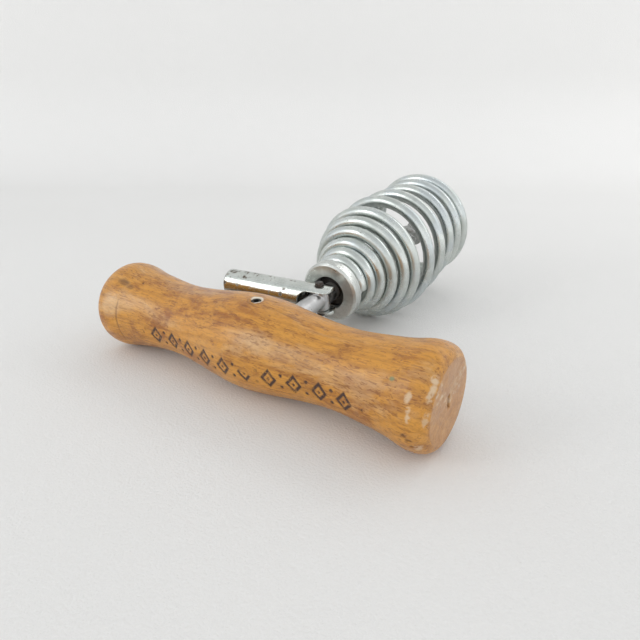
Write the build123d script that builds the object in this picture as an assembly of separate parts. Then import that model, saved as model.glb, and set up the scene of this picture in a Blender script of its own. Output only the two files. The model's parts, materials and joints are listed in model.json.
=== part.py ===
from build123d import *
from math import acos, atan2, cos, degrees, hypot, pi, radians, sin
import os

os.makedirs("parts", exist_ok=True)

# ---------------------------------------------------------------- driving sizes (mm)
# Everything is drawn with the shaft along +Z and the turned handle along X,
# both through the origin.  The whole tool is laid down on the table at the end.

# turned wooden handle: distance from the middle, radius
HANDLE_PROFILE = [
    (0.0, 13.11),
    (10.0, 12.24),
    (20.0, 10.92),
    (30.0, 10.49),
    (38.0, 11.23),
    (45.0, 12.28),
    (50.0, 13.18),
    (53.2, 12.59),
    (54.6, 11.33),
    (55.0, 10.30),
]
HANDLE_WIDEST = max(radius for _, radius in HANDLE_PROFILE)
SPUR_MARK = (1.0, 3.4, 0.8)          # width, length, depth of the lathe mark in each end

# steel shank: tang in the handle, eye for the lever, thin neck for the collar
SHANK_R = 2.9
TANG_BOTTOM = -9.0
HINGE = 30.0                         # distance of the lever pin from the handle axis
EYE_R = 3.1
EYE_HALF = 3.1                       # half thickness of the eye along the pin
SHOULDER = 36.9
NECK_R = 2.2
NECK_TOP = 55.0

# cross pin that holds the tang in the handle
HANDLE_PIN_X = 0.9
HANDLE_PIN_R = 1.3
HANDLE_PIN_BORE = 0.75
HANDLE_PIN_HALF = 12.8

# forked steel lever
LEVER_R = 4.55
LEVER_LENGTH = 34.8
LEVER_LEAN = 5.2                     # degrees toward the handle from square
SLOT_HALF = 3.16
SLOT_CENTRE = 2.9                    # centre of the round closed end, from the pin
LEVER_BORE = 1.36
PIN_R = 1.3
PIN_HALF = 5.7

# turned collar that carries the spring
COLLAR_FACE = 34.7
FLANGE_R = 9.9
FLANGE_BACK = 38.9
RECESS_R = 5.45
RECESS_FLOOR = 38.0
HUB_R = 5.95
HUB_END = 46.5
COLLAR_BORE = 2.25
WASHER_R = 5.15
WASHER_BORE = 2.27
WASHER_FRONT = 36.92
WASHER_BACK = 37.92

# barrel spring: one station for each whole turn (distance along the shaft, radius)
WIRE_R = 1.95
COIL_STATIONS = [
    (41.10, 7.95),
    (45.30, 8.95),
    (48.90, 10.75),
    (51.80, 13.60),
    (55.90, 15.95),
    (60.20, 17.85),
    (69.60, 19.00),
    (80.30, 18.60),
    (90.60, 17.80),
    (98.80, 17.60),
    (104.10, 18.20),
    (108.50, 18.90),
]
SPRING_SEAT = 43.0                   # the spring sits slightly askew on its hub, tilted here
SPRING_RISE = 0.87                   # degrees, lifts the open end
SPRING_SWING = 1.08                  # degrees, takes the open end toward -X
HALF_TURNS = 21

# worm socket, its pin and the worm
SOCKET_R = 4.0
SOCKET_START = 49.8
SOCKET_END = 60.0
SOCKET_PIN_R = 0.75
SOCKET_PIN_Z = 52.4
WORM_WIRE_R = 1.6
WORM_COIL_R = 3.0
WORM_PITCH = 9.5
WORM_LEAD_IN = 61.0
WORM_COIL_START = 65.5
WORM_COIL_END = 98.8
WORM_POINT = 6.5

LEAN_ALLOWANCE = 0.01                # degrees, keeps the lowest coil just on the table


def rod(radius, start, end, x=0.0, y=0.0):
    """Round bar along Z from start to end."""
    return Pos(x, y, (start + end) / 2) * Cylinder(radius, end - start)


def cross_rod(radius, half_length, x=0.0, z=0.0):
    """Round bar along Y, the pin direction."""
    return Pos(x, 0, z) * Rot(90, 0, 0) * Cylinder(radius, 2 * half_length)


# ---------------------------------------------------------------- handle
def make_handle():
    shoulder = HANDLE_PROFILE.index(max(HANDLE_PROFILE, key=lambda station: station[1]))
    middle = HANDLE_PROFILE[: shoulder + 1]
    rounding = HANDLE_PROFILE[shoulder:]
    end_x, end_r = rounding[-1]
    long_curve = [(-x, r) for x, r in reversed(middle[1:])] + middle
    edges = [
        Spline(*long_curve, tangents=[(1, 0), (1, 0)]),
        Spline(*rounding, tangents=[(1, 0), (0.2, -1)]),
        Line((end_x, end_r), (end_x, 0)),
        Line((end_x, 0), (-end_x, 0)),
        Line((-end_x, 0), (-end_x, end_r)),
        Spline(*[(-x, r) for x, r in reversed(rounding)], tangents=[(0.2, 1), (1, 0)]),
    ]
    body = revolve(make_face(Wire(edges)), axis=Axis.X, revolution_arc=360)
    body -= rod(SHANK_R, TANG_BOTTOM, HANDLE_WIDEST + 2)
    body -= cross_rod(HANDLE_PIN_R, HANDLE_WIDEST + 2, x=HANDLE_PIN_X)
    width, length, depth = SPUR_MARK
    for side in (-1, 1):
        body -= Pos(side * (end_x - depth / 2), 0, 0) * Box(depth, width, length)
    return body


def make_handle_pin():
    tube = cross_rod(HANDLE_PIN_R, HANDLE_PIN_HALF, x=HANDLE_PIN_X)
    return tube - cross_rod(HANDLE_PIN_BORE, HANDLE_PIN_HALF + 1, x=HANDLE_PIN_X)


# ---------------------------------------------------------------- shank
def make_shank():
    bar = rod(SHANK_R, TANG_BOTTOM, SHOULDER)
    neck = rod(NECK_R, SHOULDER, NECK_TOP)
    bar = chamfer(bar.edges().group_by(Axis.Z)[0], 0.6)
    bar += cross_rod(EYE_R, EYE_HALF, z=HINGE)
    bar += chamfer(neck.edges().group_by(Axis.Z)[-1], 0.4)
    bar -= cross_rod(PIN_R, EYE_HALF + 1, z=HINGE)
    bar -= cross_rod(HANDLE_PIN_R, SHANK_R + 1, x=HANDLE_PIN_X)
    bar -= cross_rod(SOCKET_PIN_R, NECK_R + 1, z=SOCKET_PIN_Z)
    return bar


# ---------------------------------------------------------------- lever and its pin
def make_lever():
    body = Pos(-LEVER_LENGTH / 2, 0, 0) * Rot(0, 90, 0) * Cylinder(LEVER_R, LEVER_LENGTH)
    body = chamfer(body.edges().group_by(Axis.X)[0], 0.35)
    nose = Rot(0, 90, 0) * Cylinder(LEVER_R, 2 * LEVER_R)
    body += nose & (Rot(90, 0, 0) * Cylinder(LEVER_R, 2 * LEVER_R + 1))
    slot_front = LEVER_R + 2
    slot = Pos((slot_front - SLOT_CENTRE) / 2, 0, 0) * Box(
        slot_front + SLOT_CENTRE, 2 * SLOT_HALF, 2 * LEVER_R + 2
    )
    slot += Pos(-SLOT_CENTRE, 0, 0) * Cylinder(SLOT_HALF, 2 * LEVER_R + 2)
    body -= slot
    body -= Rot(90, 0, 0) * Cylinder(LEVER_BORE, 2 * LEVER_R + 2)
    return Pos(0, 0, HINGE) * Rot(0, -LEVER_LEAN, 0) * body


def make_lever_pin():
    pin = cross_rod(PIN_R, PIN_HALF, z=HINGE)
    rims = pin.edges().group_by(Axis.Y)
    return chamfer(rims[0] + rims[-1], 0.3)


# ---------------------------------------------------------------- collar and washer
def make_collar():
    flange = rod(FLANGE_R, COLLAR_FACE, FLANGE_BACK)
    flange = chamfer(flange.edges().filter_by(GeomType.CIRCLE), 0.6)
    hub = rod(HUB_R, FLANGE_BACK - 1, HUB_END)
    body = flange + chamfer(hub.edges().group_by(Axis.Z)[-1], 0.5)
    body -= rod(RECESS_R, COLLAR_FACE - 1, RECESS_FLOOR)
    body -= rod(COLLAR_BORE, RECESS_FLOOR - 1, HUB_END + 1)
    return body


def make_washer():
    return rod(WASHER_R, WASHER_FRONT, WASHER_BACK) - rod(WASHER_BORE, WASHER_FRONT - 1, WASHER_BACK + 1)


# ---------------------------------------------------------------- barrel spring
spring_seating = Pos(0, 0, SPRING_SEAT) * Rot(SPRING_RISE, -SPRING_SWING, 0) * Pos(0, 0, -SPRING_SEAT)


def coil_station(half_turn):
    """Distance and radius of the wire centre after a number of half turns."""
    index, halfway = divmod(half_turn, 2)
    distance, radius = COIL_STATIONS[index]
    if halfway:
        next_distance, next_radius = COIL_STATIONS[index + 1]
        distance = (distance + next_distance) / 2
        radius = (radius + next_radius) / 2
    return distance, radius


def spring_ends(half_turn):
    """Start and end point of one half turn; the wire starts on the +X side."""
    side = 1 if half_turn % 2 == 0 else -1
    distance, radius = coil_station(half_turn)
    next_distance, next_radius = coil_station(half_turn + 1)
    return Vector(side * radius, 0, distance), Vector(-side * next_radius, 0, next_distance)


def make_spring():
    """Each half turn is a half ring, so neighbouring pieces meet with no kink."""
    wire = None
    for half_turn in range(HALF_TURNS):
        start, end = spring_ends(half_turn)
        forward = Vector(0, -1, 0) if half_turn % 2 == 0 else Vector(0, 1, 0)
        middle = (start + end) * 0.5
        turning_axis = (start - middle).cross(forward).normalized()
        section = Plane(origin=start, x_dir=turning_axis, z_dir=forward) * Circle(WIRE_R)
        piece = revolve(section, axis=Axis(middle, turning_axis), revolution_arc=180)
        wire = piece if wire is None else wire + piece
    return spring_seating * wire


# ---------------------------------------------------------------- worm and socket
def make_socket():
    body = rod(SOCKET_R, SOCKET_START, SOCKET_END)
    body = chamfer(body.edges().filter_by(GeomType.CIRCLE), 0.5)
    body -= rod(NECK_R, SOCKET_START - 1, NECK_TOP)
    body -= rod(WORM_WIRE_R, NECK_TOP - 1, SOCKET_END + 1)
    body -= cross_rod(SOCKET_PIN_R, SOCKET_R + 1, z=SOCKET_PIN_Z)
    return body


def make_socket_pin():
    return cross_rod(SOCKET_PIN_R, SOCKET_R - 0.1, z=SOCKET_PIN_Z)


def make_worm():
    climb = atan2(WORM_PITCH, 2 * pi * WORM_COIL_R)
    stem_start = (0, 0, NECK_TOP + 0.1)
    stem_end = (0, 0, WORM_LEAD_IN)
    coil_start = (WORM_COIL_R, 0, WORM_COIL_START)
    coil_height = WORM_COIL_END - WORM_COIL_START

    stem = Line(stem_start, stem_end)
    lead_in = Spline(stem_end, coil_start, tangents=[(0, 0, 1), (0, cos(climb), sin(climb))])
    coil = Pos(0, 0, WORM_COIL_START) * Helix(WORM_PITCH, coil_height, WORM_COIL_R)
    wire = sweep(Plane(stem_start) * Circle(WORM_WIRE_R), path=Wire([stem, lead_in, coil]))

    half_point = WORM_POINT / 2
    tip_plane = Plane(origin=coil @ 1, z_dir=coil % 1)
    tip = tip_plane * Pos(0, 0, half_point) * Cone(WORM_WIRE_R, 0.2, WORM_POINT)
    return wire + tip


# ---------------------------------------------------------------- laying the tool down
def resting_lean():
    """Rise of the shaft, in degrees, when the handle and the spring both touch the table."""
    lean = 0.0
    for half_turn in range(1, HALF_TURNS, 2):
        start, end = spring_ends(half_turn)
        middle = (start + end) * 0.5
        lowest = spring_seating * Pos(middle.X, (end - start).length / 2, middle.Z)
        depth = lowest.position.Y + WIRE_R
        distance = lowest.position.Z
        reach = hypot(depth, distance)
        lean = max(lean, acos(HANDLE_WIDEST / reach) - atan2(distance, depth))
    return degrees(lean)


parts = {
    "handle": make_handle(),
    "handle_pin": make_handle_pin(),
    "shank": make_shank(),
    "lever": make_lever(),
    "lever_pin": make_lever_pin(),
    "collar": make_collar(),
    "thrust_washer": make_washer(),
    "bell_spring": make_spring(),
    "worm_socket": make_socket(),
    "socket_pin": make_socket_pin(),
    "worm": make_worm(),
}

lean = resting_lean() + LEAN_ALLOWANCE
laid_down = Rot(lean - 90, 0, 0)
spring_box = (laid_down * parts["bell_spring"]).bounding_box()
centre_y = (spring_box.max.Y - HANDLE_WIDEST) / 2
placement = Pos(0, -centre_y, HANDLE_WIDEST) * laid_down

for name, shape in parts.items():
    placed = placement * shape
    placed.label = name
    export_step(placed, f"parts/{name}.step")
    box = placed.bounding_box()
    print(
        f"{name:14s} solids {len(placed.solids())} valid {placed.is_valid} volume {placed.volume:9.1f}"
        f"  x {box.min.X:7.2f} {box.max.X:7.2f}  y {box.min.Y:7.2f} {box.max.Y:7.2f}"
        f"  z {box.min.Z:6.2f} {box.max.Z:6.2f}"
    )
hinge_point = placement * Pos(0, 0, HINGE)
print("lean", round(lean, 3), "handle axis y", round(-centre_y, 3), "height", HANDLE_WIDEST)
print("hinge", hinge_point.position, "shaft direction", cos(radians(lean)), sin(radians(lean)))
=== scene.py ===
import json
from math import cos, pi, radians, sin

import bmesh
import bpy
import numpy as np
from mathutils import Matrix, Vector


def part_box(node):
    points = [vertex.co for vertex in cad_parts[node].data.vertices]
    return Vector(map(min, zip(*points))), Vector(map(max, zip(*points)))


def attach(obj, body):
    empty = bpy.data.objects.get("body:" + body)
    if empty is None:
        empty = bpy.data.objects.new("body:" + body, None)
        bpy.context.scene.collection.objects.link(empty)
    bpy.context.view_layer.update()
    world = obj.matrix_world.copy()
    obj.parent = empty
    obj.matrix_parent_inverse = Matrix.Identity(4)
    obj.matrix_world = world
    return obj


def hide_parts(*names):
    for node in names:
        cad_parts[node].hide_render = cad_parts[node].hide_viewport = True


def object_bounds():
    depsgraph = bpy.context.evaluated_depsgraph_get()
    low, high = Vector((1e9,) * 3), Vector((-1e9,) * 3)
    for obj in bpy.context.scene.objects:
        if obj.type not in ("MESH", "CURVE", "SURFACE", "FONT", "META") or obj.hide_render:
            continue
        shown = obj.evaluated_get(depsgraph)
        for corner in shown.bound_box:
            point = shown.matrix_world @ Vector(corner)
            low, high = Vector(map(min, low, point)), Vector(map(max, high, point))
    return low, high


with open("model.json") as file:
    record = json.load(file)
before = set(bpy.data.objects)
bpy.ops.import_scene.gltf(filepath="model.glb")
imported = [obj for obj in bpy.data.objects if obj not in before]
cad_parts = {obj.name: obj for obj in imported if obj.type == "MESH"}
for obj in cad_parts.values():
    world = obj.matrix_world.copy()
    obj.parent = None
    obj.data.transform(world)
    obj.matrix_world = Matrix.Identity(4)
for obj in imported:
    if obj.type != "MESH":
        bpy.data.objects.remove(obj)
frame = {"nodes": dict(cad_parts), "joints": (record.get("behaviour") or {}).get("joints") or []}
cad_low, cad_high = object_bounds()
rng = np.random.default_rng(11)
MM = 0.001

# ------------------------------------------------------------------ the tool's own axes
# Pieces are drawn in millimetres with x along the handle, y along the shaft away from the
# handle, and z along the lever pin.  The origin is the middle of the handle.
joints = {joint["name"]: joint for joint in frame["joints"]}
shaft_axis = Vector(joints["bell_slide"]["axis"]).normalized()
pin_axis = Vector(joints["lever_swing"]["axis"]).normalized()
handle_low, handle_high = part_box("handle")
handle_centre = (handle_low + handle_high) / 2
TOOL = Matrix.Translation(handle_centre) @ Matrix(
    (
        (1, shaft_axis.x, pin_axis.x, 0),
        (0, shaft_axis.y, pin_axis.y, 0),
        (0, shaft_axis.z, pin_axis.z, 0),
        (0, 0, 0, 1),
    )
)

# sizes shared with the CAD source, in millimetres
HANDLE_HALF_OUTLINE = [
    (0.0, 13.11),
    (10.0, 12.24),
    (20.0, 10.92),
    (30.0, 10.49),
    (38.0, 11.23),
    (45.0, 12.28),
    (50.0, 13.18),
]
HANDLE_ROUNDING = [(50.0, 13.18), (53.2, 12.59), (54.6, 11.33), (55.0, 10.30)]
HANDLE_PIN_X = 0.9
HANDLE_PIN_R = 1.3
SPUR_WIDTH = 1.0
SPUR_LENGTH = 3.4
SPUR_DEPTH = 0.8
SHANK_R = 2.9
SHANK_START = 8.0
HINGE = 30.0
EYE_R = 3.1
EYE_HALF = 3.1
SHOULDER = 36.9
NECK_R = 2.2
NECK_TOP = 55.0
LEVER_R = 4.55
LEVER_LENGTH = 34.8
LEVER_LEAN = radians(5.2)
SLOT_HALF = 3.16
SLOT_CENTRE = 2.9
LEVER_BORE = 1.36
PIN_R = 1.3
PIN_HALF = 5.7
COLLAR_FACE = 34.7
FLANGE_R = 9.9
FLANGE_BACK = 38.9
RECESS_R = 5.45
RECESS_FLOOR = 38.0
HUB_R = 5.95
HUB_END = 46.5
COLLAR_BORE = 2.25
WIRE_R = 1.95
COIL_STATIONS = [
    (41.10, 7.95),
    (45.30, 8.95),
    (48.90, 10.75),
    (51.80, 13.60),
    (55.90, 15.95),
    (60.20, 17.85),
    (69.60, 19.00),
    (80.30, 18.60),
    (90.60, 17.80),
    (98.80, 17.60),
    (104.10, 18.20),
    (108.50, 18.90),
]
SPRING_SEAT = 43.0
SPRING_RISE = radians(0.87)
SPRING_SWING = radians(1.08)
COIL_TURNS = 10.5
SOCKET_R = 4.0
SOCKET_START = 49.8
SOCKET_END = 60.0
WORM_WIRE_R = 1.6
WORM_COIL_R = 3.0
WORM_PITCH = 9.5
WORM_LEAD_IN = 61.0
WORM_COIL_START = 65.5
WORM_COIL_END = 98.8
WORM_POINT = 6.5
WORM_POINT_CURL = 0.045


# ------------------------------------------------------------------ curves and noise in numpy
def cubic_curve(points, count, start=None, end=None):
    """Smooth curve through points; start and end are directions, or None for a free end."""
    points = np.array(points, float)
    gaps = np.linalg.norm(np.diff(points, axis=0), axis=1)
    place = np.concatenate([[0.0], np.cumsum(gaps)])
    size = len(points)
    system = np.zeros((size, size))
    wanted = np.zeros((size, points.shape[1]))
    for row in range(1, size - 1):
        before, after = gaps[row - 1], gaps[row]
        system[row, row - 1 : row + 2] = (after, 2 * (before + after), before)
        wanted[row] = 3 * (
            after * (points[row] - points[row - 1]) / before
            + before * (points[row + 1] - points[row]) / after
        )
    for row, inner, direction in ((0, 1, start), (size - 1, size - 2, end)):
        system[row, row] = 1.0
        if direction is None:
            low, high = min(row, inner), max(row, inner)
            wanted[row] = (points[high] - points[low]) / gaps[low]
        else:
            direction = np.array(direction, float)
            wanted[row] = direction / np.linalg.norm(direction)
    slopes = np.linalg.solve(system, wanted)
    spots = np.linspace(0.0, place[-1], count)
    spans = np.clip(np.searchsorted(place, spots) - 1, 0, size - 2)
    gap = gaps[spans][:, None]
    share = (spots - place[spans])[:, None] / gap
    return (
        (2 * share**3 - 3 * share**2 + 1) * points[spans]
        + (share**3 - 2 * share**2 + share) * gap * slopes[spans]
        + (3 * share**2 - 2 * share**3) * points[spans + 1]
        + (share**3 - share**2) * gap * slopes[spans + 1]
    )


def step_up(value, low, high):
    """0 below low, 1 above high and smooth between; high may be the smaller of the two."""
    share = np.clip((value - low) / (high - low), 0.0, 1.0)
    return share * share * (3 - 2 * share)


def waves(points, size, seed, octaves=3):
    """Soft seeded noise, about -1 to 1, from sums of sines in random directions."""
    local = np.random.default_rng(seed)
    total = np.zeros(len(points))
    strength = 1.0
    weight = 0.0
    for _ in range(octaves):
        layer = np.zeros(len(points))
        for _ in range(7):
            direction = local.normal(size=3)
            direction /= np.linalg.norm(direction)
            stretch = local.uniform(0.6, 1.5)
            layer += np.sin(points @ direction * (2 * pi * stretch / size) + local.uniform(0, 2 * pi))
        total += layer * strength / 7
        weight += strength
        strength *= 0.55
        size *= 0.47
    return total / weight * 1.9


# ------------------------------------------------------------------ meshes
SHARP_DEGREES = 45.0  # faces of turned metal that meet at more than this keep a hard edge
WIRE_SHARP_DEGREES = 50.0


def new_mesh(name, verts, faces, attributes, sharp_degrees=None):
    """Makes a smooth shaded mesh in metres from millimetre arrays."""
    mesh = bpy.data.meshes.new(name)
    mesh.from_pydata((np.asarray(verts) * MM).tolist(), [], faces)
    mesh.update()
    for key, values in attributes.items():
        values = np.asarray(values, np.float32)
        kind = "FLOAT" if values.ndim == 1 else "FLOAT_VECTOR"
        layer = mesh.attributes.new(key, kind, "POINT")
        layer.data.foreach_set("value" if values.ndim == 1 else "vector", values.ravel())
    mesh.shade_smooth()
    if sharp_degrees is not None:
        mesh.set_sharp_from_angle(angle=radians(sharp_degrees))
    return mesh


def grid_faces(rows, columns, closed_rows=False):
    """Quads of a grid whose columns run round a ring."""
    faces = []
    for row in range(rows if closed_rows else rows - 1):
        following = (row + 1) % rows
        for column in range(columns):
            beside = (column + 1) % columns
            faces.append(
                (
                    row * columns + column,
                    row * columns + beside,
                    following * columns + beside,
                    following * columns + column,
                )
            )
    return faces


def add_grime_and_shade(mesh, field):
    """Stores an amount of dirt and painted shade for each vertex, worked out from its place in
    millimetres.
    """
    places = np.zeros(len(mesh.vertices) * 3, np.float32)
    mesh.vertices.foreach_get("co", places)
    amount = np.clip(field(places.reshape(-1, 3) / MM), 0, 1).astype(np.float32)
    layer = mesh.attributes.new("grime_and_shade", "FLOAT", "POINT")
    layer.data.foreach_set("value", amount)


def fix_normals(mesh):
    """Turns every face outward."""
    bm = bmesh.new()
    bm.from_mesh(mesh)
    bmesh.ops.recalc_face_normals(bm, faces=bm.faces)
    bm.to_mesh(mesh)
    bm.free()
    return mesh


def end_caps(rows, columns):
    """Flat faces over the first and the last ring of a grid."""
    last = (rows - 1) * columns
    return [tuple(range(columns)), tuple(range(last, last + columns))]


def add_piece(name, mesh, body, material, stands_for):
    """Places a mesh drawn in the tool's axes and ties it to its CAD body."""
    mesh.materials.clear()
    mesh.materials.append(material)
    piece = bpy.data.objects.new(name, mesh)
    bpy.context.scene.collection.objects.link(piece)
    piece.matrix_world = TOOL
    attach(piece, body)
    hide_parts(*stands_for)


def rounded(corners, steps=4):
    """Closed outline of (distance, radius, rounding) corners, each replaced by a small arc."""
    points = [np.array(corner[:2], float) for corner in corners]
    made = []
    for index, point in enumerate(points):
        back = points[index - 1] - point
        ahead = points[(index + 1) % len(points)] - point
        room = 0.45 * min(np.linalg.norm(back), np.linalg.norm(ahead))
        reach = min(corners[index][2], room)
        start = point + back / np.linalg.norm(back) * reach
        end = point + ahead / np.linalg.norm(ahead) * reach
        for step in range(steps + 1):
            share = step / steps
            made.append(start * (1 - share) ** 2 + point * 2 * share * (1 - share) + end * share**2)
    return made


def lathe(name, outline, columns):
    """Turns a closed outline of (distance, radius) points round the shaft."""
    outline = np.array(outline, float)
    angles = np.linspace(0, 2 * pi, columns, endpoint=False)
    along = np.repeat(outline[:, 0], columns)
    radius = np.repeat(outline[:, 1], columns)
    across = np.outer(outline[:, 1], np.cos(angles)).ravel()
    upward = np.outer(outline[:, 1], np.sin(angles)).ravel()
    verts = np.stack([across, along, upward], axis=1)
    place = np.stack([radius, along, np.tile(np.abs(angles - pi), len(outline))], axis=1)
    faces = grid_faces(len(outline), columns, closed_rows=True)
    return fix_normals(new_mesh(name, verts, faces, {"turned_place": place}, SHARP_DEGREES))


def tube(name, path, radii, columns):
    """Round wire along a path, closed by flat ends; wire_place runs along the wire."""
    path = np.array(path, float)
    radii = np.array(radii, float)
    steps = np.linalg.norm(np.diff(path, axis=0), axis=1)
    along = np.concatenate([[0.0], np.cumsum(steps)])
    tangents = np.gradient(path, axis=0)
    tangents /= np.linalg.norm(tangents, axis=1)[:, None]
    side = np.cross(tangents[0], (0.3, 0.2, 1.0))
    sides = []
    for tangent in tangents:
        side = side - tangent * (side @ tangent)
        side /= np.linalg.norm(side)
        sides.append(side)
    sides = np.array(sides)
    others = np.cross(tangents, sides)
    angles = np.linspace(0, 2 * pi, columns, endpoint=False)
    out = (
        sides[:, None, :] * np.cos(angles)[None, :, None]
        + others[:, None, :] * np.sin(angles)[None, :, None]
    )
    verts = path[:, None, :] + out * radii[:, None, None]
    place = np.zeros_like(verts)
    place[:, :, 0] = np.cos(angles)[None, :]
    place[:, :, 1] = np.sin(angles)[None, :]
    place[:, :, 2] = along[:, None]
    faces = grid_faces(len(path), columns) + end_caps(len(path), columns)
    attributes = {"wire_place": place.reshape(-1, 3)}
    return fix_normals(new_mesh(name, verts.reshape(-1, 3), faces, attributes, WIRE_SHARP_DEGREES))


# ------------------------------------------------------------------ solids from distances
def meet(first, second, blend):
    """Common part of two solids given by their distances, with a rounded edge."""
    return np.maximum(first, second) + np.maximum(blend - np.abs(first - second), 0) ** 2 / (4 * blend)


def join(first, second, blend):
    """Both solids together, with a filled corner."""
    return -meet(-first, -second, blend)


def solid_mesh(name, distance, low, high, cell, attributes, relax=4):
    """Quads over the zero surface of a distance function, moved onto it and evened out relax times."""
    low, high = np.array(low, float), np.array(high, float)
    counts = np.ceil((high - low) / cell).astype(int) + 1
    axes = [low[i] + cell * np.arange(counts[i]) for i in range(3)]
    grid = np.stack(np.meshgrid(*axes, indexing="ij"), axis=-1).reshape(-1, 3)
    inside = (distance(grid) < 0).reshape(counts)
    corners = sum(
        inside[a : counts[0] - 1 + a, b : counts[1] - 1 + b, c : counts[2] - 1 + c].astype(int)
        for a in (0, 1)
        for b in (0, 1)
        for c in (0, 1)
    )
    active = (corners > 0) & (corners < 8)
    index = -np.ones(active.shape, int)
    index[active] = np.arange(active.sum())
    verts = low + cell * (np.argwhere(active) + 0.5)
    faces = []
    for axis in range(3):
        others = [i for i in range(3) if i != axis]
        before = [slice(None)] * 3
        after = [slice(None)] * 3
        before[axis], after[axis] = slice(0, -1), slice(1, None)
        for i in others:
            before[i] = after[i] = slice(1, -1)
        changed = inside[tuple(before)] != inside[tuple(after)]
        starts_inside = inside[tuple(before)]
        spots = np.argwhere(changed)
        first = starts_inside[changed]
        spots[:, others[0]] += 1
        spots[:, others[1]] += 1
        ring = []
        for step_a, step_b in ((-1, -1), (0, -1), (0, 0), (-1, 0)):
            cell_spot = spots.copy()
            cell_spot[:, others[0]] += step_a
            cell_spot[:, others[1]] += step_b
            ring.append(index[tuple(cell_spot.T)])
        ring = np.stack(ring, axis=1)
        flip = first if axis != 1 else ~first
        ring[~flip] = ring[~flip][:, ::-1]
        faces.append(ring)
    faces = np.concatenate(faces)

    def settle(points):
        """Moves points onto the surface, along the slope of the distance."""
        step = 1e-3
        for _ in range(3):
            here = distance(points)
            slope = np.stack(
                [
                    (distance(points + step * np.eye(3)[i]) - distance(points - step * np.eye(3)[i]))
                    / (2 * step)
                    for i in range(3)
                ],
                axis=1,
            )
            size = np.maximum((slope**2).sum(1), 0.05)
            points = points - slope * (here / size)[:, None]
        return points

    verts = settle(verts)
    pairs = np.concatenate([faces[:, [i, (i + 1) % 4]] for i in range(4)])
    for _ in range(relax):
        total = np.zeros_like(verts)
        number = np.zeros(len(verts))
        for a, b in ((0, 1), (1, 0)):
            np.add.at(total, pairs[:, a], verts[pairs[:, b]])
            np.add.at(number, pairs[:, a], 1)
        verts = settle(0.4 * verts + 0.6 * total / np.maximum(number, 1)[:, None])
    extra = {key: make(verts) for key, make in attributes.items()}
    return fix_normals(new_mesh(name, verts, faces.tolist(), extra))


# ------------------------------------------------------------------ material helpers
class Nodes:
    """Short way to build one material's node tree."""

    def __init__(self, name):
        self.material = bpy.data.materials.new(name)
        self.material.use_nodes = True
        self.tree = self.material.node_tree
        self.tree.nodes.clear()
        output = self.tree.nodes.new("ShaderNodeOutputMaterial")
        self.shader = self.tree.nodes.new("ShaderNodeBsdfPrincipled")
        self.tree.links.new(self.shader.outputs[0], output.inputs["Surface"])

    def put(self, socket, value):
        """Links another node's output, or sets a number, a vector or a colour."""
        if isinstance(value, bpy.types.NodeSocket):
            self.tree.links.new(value, socket)
        elif hasattr(socket.default_value, "__len__") and len(socket.default_value) == 4:
            socket.default_value = (*value, 1)[:4]
        else:
            socket.default_value = value

    def add(self, kind, inputs=None, **settings):
        node = self.tree.nodes.new(kind)
        for key, value in settings.items():
            setattr(node, key, value)
        for key, value in (inputs or {}).items():
            self.put(node.inputs[key], value)
        return node

    def place(self):
        return self.add("ShaderNodeTexCoord").outputs["Object"]

    def attribute(self, name, output="Fac"):
        return self.add("ShaderNodeAttribute", attribute_name=name).outputs[output]

    def scaled(self, vector, scale):
        return self.add("ShaderNodeMapping", {"Vector": vector, "Scale": scale}).outputs["Vector"]

    def noise(self, vector, scale, detail=3.0, roughness=0.5, distortion=0.0):
        inputs = {
            "Vector": vector,
            "Scale": scale,
            "Detail": detail,
            "Roughness": roughness,
            "Distortion": distortion,
        }
        return self.add("ShaderNodeTexNoise", inputs).outputs["Fac"]

    def band(self, factor, low, high, start=0.0, end=1.0):
        """Maps factor from low..high to start..end, smooth and clamped."""
        inputs = {"Value": factor, "From Min": low, "From Max": high, "To Min": start, "To Max": end}
        node = self.add("ShaderNodeMapRange", inputs, interpolation_type="SMOOTHSTEP")
        return node.outputs["Result"]

    def math(self, operation, first, second=0.0):
        node = self.add("ShaderNodeMath", operation=operation)
        self.put(node.inputs[0], first)
        self.put(node.inputs[1], second)
        return node.outputs[0]

    def mix(self, factor, first, second):
        """Goes from the first colour to the second; a Mix node keeps its colours in sockets 6 and 7."""
        node = self.add("ShaderNodeMix", {0: factor, 6: first, 7: second}, data_type="RGBA")
        return node.outputs[2]

    def bump(self, height, distance):
        return self.add("ShaderNodeBump", {"Height": height, "Distance": distance}).outputs["Normal"]

    def set(self, **values):
        """Fills sockets of the shader; an underscore stands for a space."""
        for key, value in values.items():
            self.put(self.shader.inputs[key.replace("_", " ")], value)


# ------------------------------------------------------------------ materials
PITH = (0.0, 0.021, 0.034)  # middle of the tree, beside the handle, in metres
# colours of the varnished wood, linear
GOLDEN = (0.60, 0.262, 0.028)
FLAME_BROWN = (0.32, 0.102, 0.007)
SCALE_GOLD = (0.63, 0.295, 0.038)
SOFT_GOLD = (0.60, 0.295, 0.048)
PALE_WOOD = (0.62, 0.42, 0.225)
RING_BROWN = (0.29, 0.108, 0.018)
FIBRE_BROWN = (0.27, 0.095, 0.014)
FLECK_BROWN = (0.225, 0.075, 0.010)
PORE_BROWN = (0.22, 0.090, 0.022)
END_LIGHT = (0.52, 0.270, 0.100)
END_DARK = (0.36, 0.165, 0.058)
SCUFF_AND_SHEEN_TONE = (0.74, 0.52, 0.30)
BARE_WOOD = (0.64, 0.47, 0.30)
GRIME_BROWN = (0.100, 0.038, 0.014)
GREEN_SPECK = (0.20, 0.22, 0.10)
TORN_RIM = (0.80, 0.74, 0.62)
BURNT_BLACK = (0.045, 0.018, 0.012)


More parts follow.
